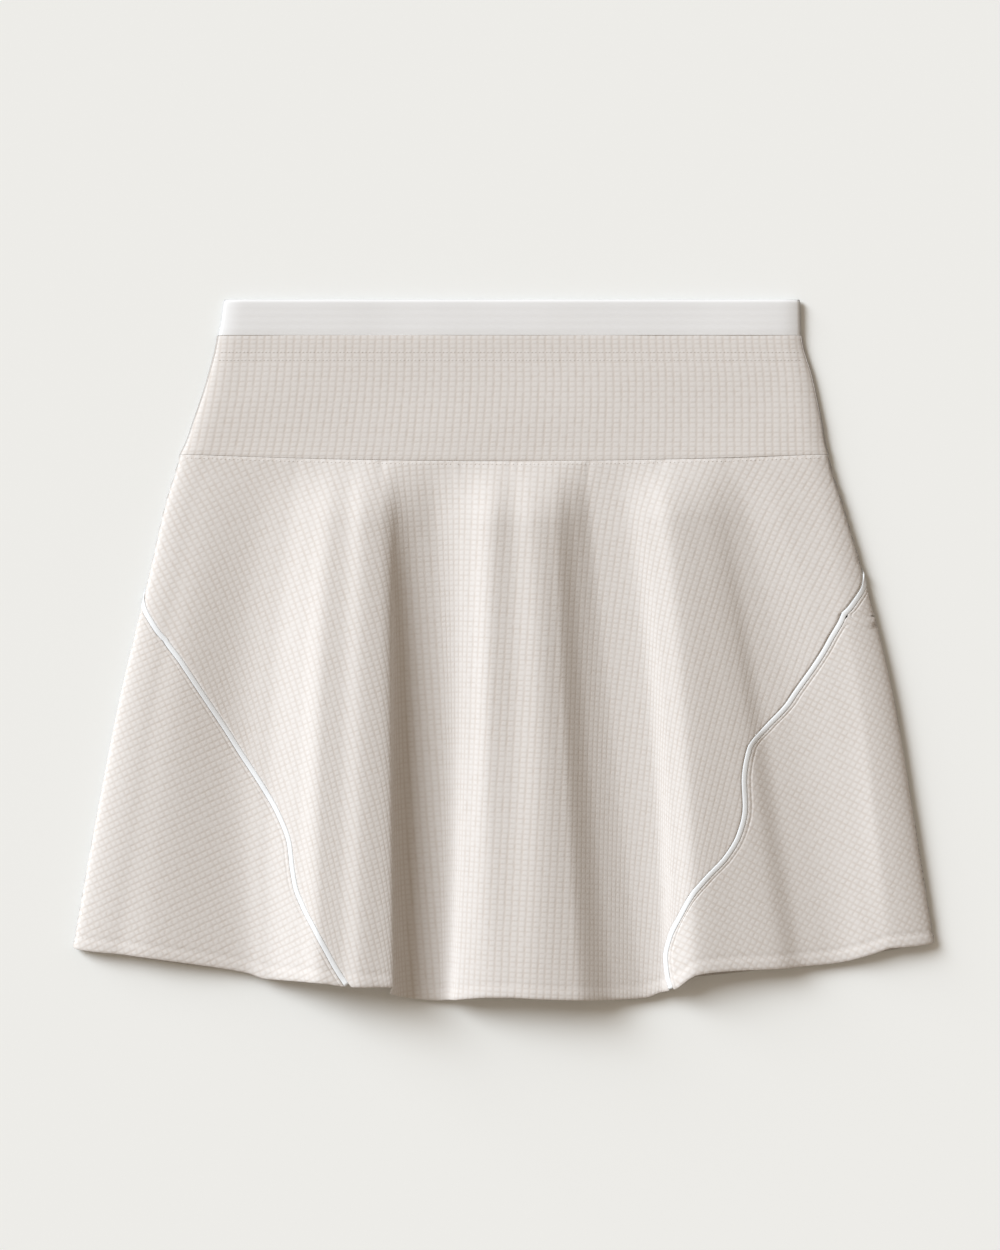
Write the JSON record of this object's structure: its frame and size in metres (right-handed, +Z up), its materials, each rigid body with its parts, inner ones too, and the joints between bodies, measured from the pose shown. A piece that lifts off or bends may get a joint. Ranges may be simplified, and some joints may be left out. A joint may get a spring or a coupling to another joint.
{
  "type": "skort",
  "caption": "Sports skort laid flat: smooth elastic waistband, waffle-knit yoke, flared circle-cut skirt with soft folds and curved side piping, inner shorts.",
  "frame": {"origin": "centre of the bounding box, on the plane that the skort rests on", "axes": "+X across the skort, towards the picture's right; +Y up the skort, from hem to waist; +Z up from the surface it lies on, out of its front"},
  "size_m": [0.4674, 0.3798, 0.023],
  "materials": {
    "waffle": "matte waffle knit, white with a warm cast",
    "elastic": "smooth, soft sheen",
    "piping": "smooth, soft sheen",
    "jersey": "matte plain jersey"
  },
  "bodies": {
    "root": {"waistband": "elastic", "yoke_front": "waffle", "yoke_back": "waffle", "front_panel": "waffle", "back_panel": "waffle", "piping_left": "piping", "piping_right": "piping", "shorts_front": "jersey", "shorts_back": "jersey"}
  },
  "joints": []
}
